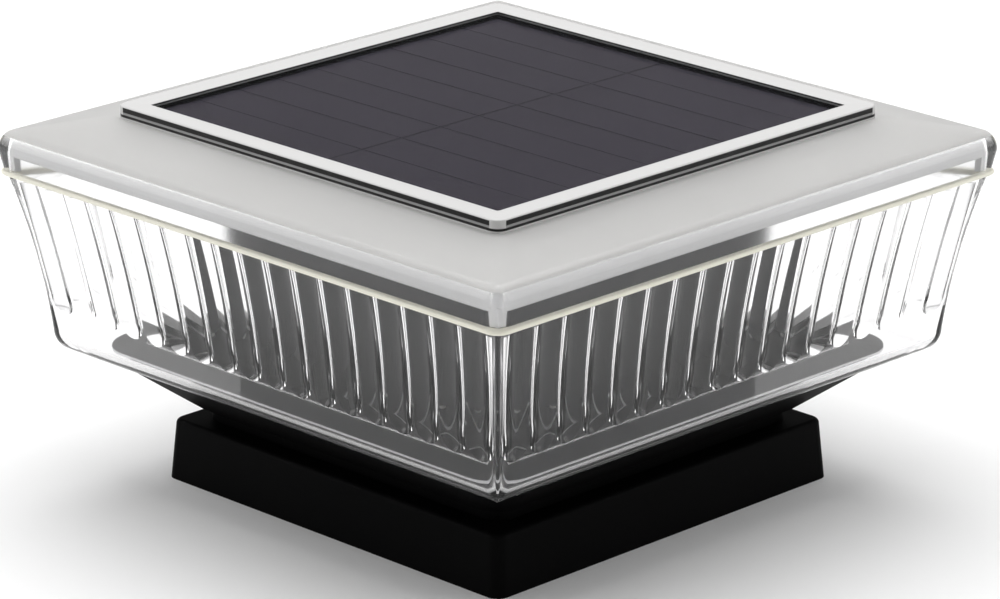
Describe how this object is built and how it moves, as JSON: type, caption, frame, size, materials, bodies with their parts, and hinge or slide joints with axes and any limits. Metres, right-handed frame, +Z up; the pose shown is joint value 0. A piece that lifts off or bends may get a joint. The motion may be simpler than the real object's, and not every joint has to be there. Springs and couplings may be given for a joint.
{
  "type": "solar deck post cap light",
  "caption": "Square solar post cap light: panel on a frosted roof, flared clear reeded lens, dark inner box, black tray and post skirt, push switch below.",
  "frame": {"origin": "centre of the post base's lower edge, on the surface that the light stands on", "axes": "+Z up through the solar panel; X and Y square to the sides, so the corner towards +X -Y faces the picture's camera"},
  "size_m": [0.15, 0.15, 0.0822],
  "materials": {
    "black_plastic": "fine satin moulded black",
    "clear_lens": "clear moulded plastic, reeded inside",
    "grey_rubber": "soft grey seal",
    "cream_bead": "translucent cream sealing bead",
    "frosted_cover": "frosted translucent roof with a clear rim",
    "clear_bezel": "glossy whitish clear frame",
    "foam_tape": "foam mounting tape",
    "panel_backing": "dark laminate",
    "solar_cell": "dark silicon strips",
    "clear_resin": "clear casting resin",
    "dark_plastic": "dark grey moulded plastic",
    "zinc_screw": "zinc plated",
    "white_board": "white solder mask",
    "led_chip": "yellow phosphor",
    "green_board": "green solder mask",
    "board_part": "moulded component bodies",
    "cell_sleeve": "shrink sleeve",
    "nickel_contact": "nickel plated",
    "switch_plastic": "glossy black",
    "button_plastic": "glossy red"
  },
  "bodies": {
    "root": {"post_base": "black_plastic", "tray": "black_plastic", "lens": "clear_lens", "lens_seal": "grey_rubber", "rim_seal": "cream_bead", "top_cover": "frosted_cover", "panel_bezel": "clear_bezel", "panel_tape": "foam_tape", "panel_board": "panel_backing", "solar_cells": "solar_cell", "panel_resin": "clear_resin", "housing_seal": "grey_rubber", "engine_housing": "dark_plastic", "engine_floor": "dark_plastic", "engine_screws": "zinc_screw", "led_board": "white_board", "led_chips": "led_chip", "led_screws": "zinc_screw", "main_board": "green_board", "board_parts": "board_part", "board_screws": "zinc_screw", "battery_cell": "cell_sleeve", "battery_holder": "dark_plastic", "contact_plate": "nickel_contact", "contact_spring": "nickel_contact", "switch_body": "switch_plastic", "switch_nut": "zinc_screw", "column_seal": "grey_rubber", "tray_screws": "zinc_screw", "base_screws": "zinc_screw"},
    "button": {"switch_button": "button_plastic"}
  },
  "joints": [
    {"name": "switch_press", "type": "slide", "parent": "root", "child": "button", "axis": [0, 0, 1], "range_m": [0, 0.0016], "stiffness_N_per_m": 900, "springref_m": -0.0012}
  ]
}
